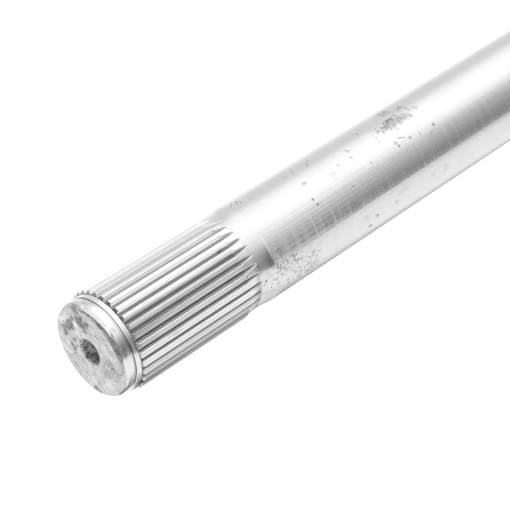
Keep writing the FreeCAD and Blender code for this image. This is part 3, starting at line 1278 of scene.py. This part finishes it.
def press_rim(mesh):
    """The blows close the rim over, spread the pilot towards the land, and leave it out of round."""
    for vertex in mesh.vertices:
        vertex.co.z = min(vertex.co.z, overall_length * MM)
        x, y, z = vertex.co
        distance = overall_length - z / MM
        reach = math.hypot(x, y) / MM
        angle = math.degrees(math.atan2(-y, x) + tooth_phase)
        on_lip = slot_end - 0.01 < distance < slot_end + 0.02 and reach > lip_from_radius
        on_pilot = distance <= pilot_length + 0.02 and reach >= struck_from_radius
        moved = -lip_wear if on_lip else 0
        if on_pilot and reach > side_from_radius:
            moved = side_moved(distance, reach, angle)
        vertex.co.x *= 1 + moved / max(reach, MM)
        vertex.co.y *= 1 + moved / max(reach, MM)
        if not on_pilot:
            continue
        if distance > 3.0:
            distance += back_push * swell(angle, 70, 55)
        inner = bevel_start - bevel_widening * swell(angle, 103, 26)
        pressed = (reach - inner) / (bevel_end - inner) * bevel_depth
        vertex.co.z = (overall_length - max(pressed if distance < 2.0 else 0, distance)) * MM


press_rim(shaft.data)
print("struck rim, highest point", round(max(v.co.z for v in shaft.data.vertices) / MM, 3), "mm")

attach(shaft, "root")
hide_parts("axle_shaft")

# %% [markdown]
# ## Floor
# The shaft stands on a white sweep that is lit from everywhere. Polished steel would mirror the
# shadows on it, so the steel sees the same floor as plain white, and the eye sees it with shadows.

# %% Floor
def glow(tree, strength):
    """White light of a strength."""
    values = {"Color": (1, 1, 1, 1), "Strength": strength}
    return new_node(tree, "ShaderNodeEmission", values).outputs[0]


def floor_material():
    tree = start_material("white_sweep")
    mirrored = new_node(tree, "ShaderNodeLightPath").outputs["Is Glossy Ray"]
    paper = new_node(tree, "ShaderNodeBsdfDiffuse", {"Color": (0.8, 0.8, 0.8, 1)}).outputs[0]
    seen = new_node(tree, "ShaderNodeAddShader", {0: paper, 1: glow(tree, 0.45)}).outputs[0]
    mixed = new_node(tree, "ShaderNodeMixShader", {0: mirrored, 1: seen, 2: glow(tree, 1.0)})
    new_node(tree, "ShaderNodeOutputMaterial", {"Surface": mixed.outputs[0]})
    return bpy.data.materials["white_sweep"]


def sheet_object(name, points, faces, material):
    mesh = bpy.data.meshes.new(name)
    mesh.from_pydata(points, [], faces)
    mesh.materials.append(material)
    thing = bpy.data.objects.new(name, mesh)
    bpy.context.collection.objects.link(thing)
    return thing


half_floor = 40.0
corners = [(x * half_floor, y * half_floor, 0) for x, y in ((-1, -1), (1, -1), (1, 1), (-1, 1))]
sheet_object("floor", corners, [(0, 1, 2, 3)], floor_material())
print("floor", 2 * half_floor, "m wide")

# %% [markdown]
# ## Cards
# A photographer shapes bare metal with cards, not with lamps. A ring of paper lies round the foot
# of the shaft, painted from white to dark grey, and only the steel sees it. Each length of the
# shaft mirrors its own reach of the paper, so the body, the teeth and the pilot get their own side.

# %% A painted card
def painted_card(name, points, faces, tones):
    """A card that glows by a tone kept at each of its points, and that only the steel reflects."""
    tree = start_material(name)
    tone = new_node(tree, "ShaderNodeAttribute", attribute_name="tone").outputs["Fac"]
    new_node(tree, "ShaderNodeOutputMaterial", {"Surface": glow(tree, tone)})
    card = sheet_object(name, points, faces, bpy.data.materials[name])
    card.data.attributes.new("tone", "FLOAT", "POINT").data.foreach_set("value", tones)
    card.visible_camera = False
    card.visible_diffuse = False
    card.visible_shadow = False
    card.visible_transmission = False
    print(name, "has", len(points), "painted points")


def grid_faces(rows, columns):
    """Faces of a grid whose points were listed row by row."""
    starts = [row * columns + column for row in range(rows - 1) for column in range(columns - 1)]
    return [(at, at + 1, at + columns + 1, at + columns) for at in starts]


# %% The paper ring
# azimuth in degrees, clockwise from +X seen from above, and how bright the paper is there
back_and_sides = [(-92, 1.05), (-62, 1.12), (-48, 1.0), (-40, 0.80), (-8, 0.77), (2, 0.95), (10, 1.14)]
white_side = [(28, 1.25), (40, 1.3), (54, 1.3), (66, 1.16)]
shaded_body = [(146, 0.80), (160, 0.95), (206, 1.0), (214, 1.08), (226, 0.92), (240, 0.5), (266, 0.35)]
shaded_teeth = [(146, 0.86), (160, 0.98), (194, 1.0), (204, 0.66)]
shaded_teeth += [(214, 0.50), (220, 0.42), (232, 0.22), (266, 0.30)]
near_body = [(76, 0.92), (84, 0.70), (88, 0.58), (100, 0.44), (112, 0.36), (124, 0.29), (144, 0.28)]
middle_body = [(76, 0.95), (84, 0.72), (88, 0.60), (100, 0.46), (112, 0.38), (124, 0.27), (144, 0.25)]
far_body = [(84, 1.12), (92, 1.06), (98, 0.97), (110, 0.78), (116, 0.60), (127, 0.20), (144, 0.14)]
teeth = [(76, 1.02), (84, 0.94), (92, 0.80), (102, 0.62), (116, 0.62), (124, 0.80), (144, 0.86)]
pilot = [(90, 0.86), (96, 0.66), (104, 0.43), (112, 0.29), (120, 0.16), (128, 0.08), (143, 0.06)]
closing = [(268, 1.05)]
# how far out on the floor each side is painted, in metres
front_sides = {
    0.060: near_body + shaded_body,
    0.360: middle_body + shaded_body,
    0.530: far_body + shaded_body,
    0.560: teeth + shaded_teeth,
    0.780: teeth + shaded_teeth,
    0.783: pilot + shaded_teeth,
    6.000: pilot + shaded_teeth,
}
paper_height = 0.004


def paper_ring():
    """Paper round the foot of the shaft: white, with one dark side that differs near and far."""
    azimuths = np.linspace(0, 360, 361) + back_and_sides[0][0]
    points, tones = [], []
    for azimuth in azimuths:
        angle = -math.radians(azimuth) + tooth_phase
        for reach, front_side in front_sides.items():
            stops = back_and_sides + white_side + front_side + closing
            points.append((reach * math.cos(angle), reach * math.sin(angle), paper_height))
            tones.append(np.interp(azimuth, *zip(*stops)))
    painted_card("paper_ring", points, grid_faces(len(azimuths), len(front_sides)), tones)


paper_ring()

# %% [markdown]
# ## The bent card
# The lead chamfers and the struck rim face up and outwards, so they mirror what hangs above the
# shaft. A grey card is bent to lie just where they look: for each angle round the shaft and each
# slope of the metal, the line of sight is mirrored, and a point of the card is put on it. On one
# side it reaches lower, for the gentle slope of the pilot's crown, and stops short of the neck's.

# %% The bent card
# angle round the shaft in degrees, and how bright the card is there
chamfer_tones = [(-12, 0.6), (30, 0.40), (46, 0.13), (70, 0.10)]
chamfer_tones += [(82, 0.12), (90, 0.40), (110, 0.2), (118, 0.4)]
rim_tones = [(-12, 0.7), (46, 0.25), (70, 0.25), (78, 1.2), (92, 1.2), (98, 0.66), (110, 0.2), (118, 0.4)]
lowest_slopes = [(90, 45), (93, 14)]
rim_slope = 53
chamfer_slopes = (53.8, 58, 62)
card_reach = 2.5


def bent_card():
    """A card where the leaning metal looks, in one tone for the rim and one for the chamfers."""
    angles = np.linspace(-12, 118, 66)
    points, tones = [], []
    for angle in angles:
        azimuth = math.radians(angle)
        lowest = np.interp(angle, *zip(*lowest_slopes))
        slopes = np.append(np.linspace(lowest, rim_slope, 9), chamfer_slopes)
        on_rim = np.interp(angle, *zip(*rim_tones))
        on_chamfer = np.interp(angle, *zip(*chamfer_tones))
        for slope in slopes:
            flat, up = math.cos(math.radians(slope)), math.sin(math.radians(slope))
            normal = Vector((flat * math.cos(azimuth), -flat * math.sin(azimuth), up))
            mirrored = 2 * normal.dot(camera_back) * normal - camera_back
            points.append(turn @ (splined_face + mirrored * card_reach))
            tones.append(on_chamfer if slope > rim_slope else on_rim)
    painted_card("grey_card", points, grid_faces(len(angles), len(slopes)), tones)


bent_card()

# %% [markdown]
# ## Light
# One large soft lamp gives the shaft its shadow, and a white sky lights the rest. The steel
# doesn't mirror the lamp, and it mirrors the sky at full strength, as the camera sees it.

# %% Lamp and sky
lamp = bpy.data.lights.new("soft_sky_lamp", "SUN")
lamp.energy = 1.6
lamp.angle = math.radians(50)
lamp_object = bpy.data.objects.new("soft_sky_lamp", lamp)
lamp_object.rotation_euler = (math.radians(25), math.radians(-20), 0)
lamp_object.visible_glossy = False
bpy.context.collection.objects.link(lamp_object)

world = bpy.data.worlds.new("white_studio")
bpy.context.scene.world = world
world.use_nodes = True
sky = world.node_tree
sky.nodes.clear()
path = new_node(sky, "ShaderNodeLightPath").outputs
direct = math_node(sky, "MAXIMUM", path["Is Camera Ray"], path["Is Glossy Ray"])
direct = math_node(sky, "MAXIMUM", direct, path["Is Transmission Ray"])
strength = math_node(sky, "MULTIPLY_ADD", direct, 0.5, 0.5)
background = new_node(sky, "ShaderNodeBackground", {"Color": (1, 1, 1, 1), "Strength": strength})
new_node(sky, "ShaderNodeOutputWorld", {"Surface": background.outputs[0]})
bpy.context.scene.view_settings.view_transform = "Standard"
print("lamp", lamp.energy, "W/m2, sky", world.name)
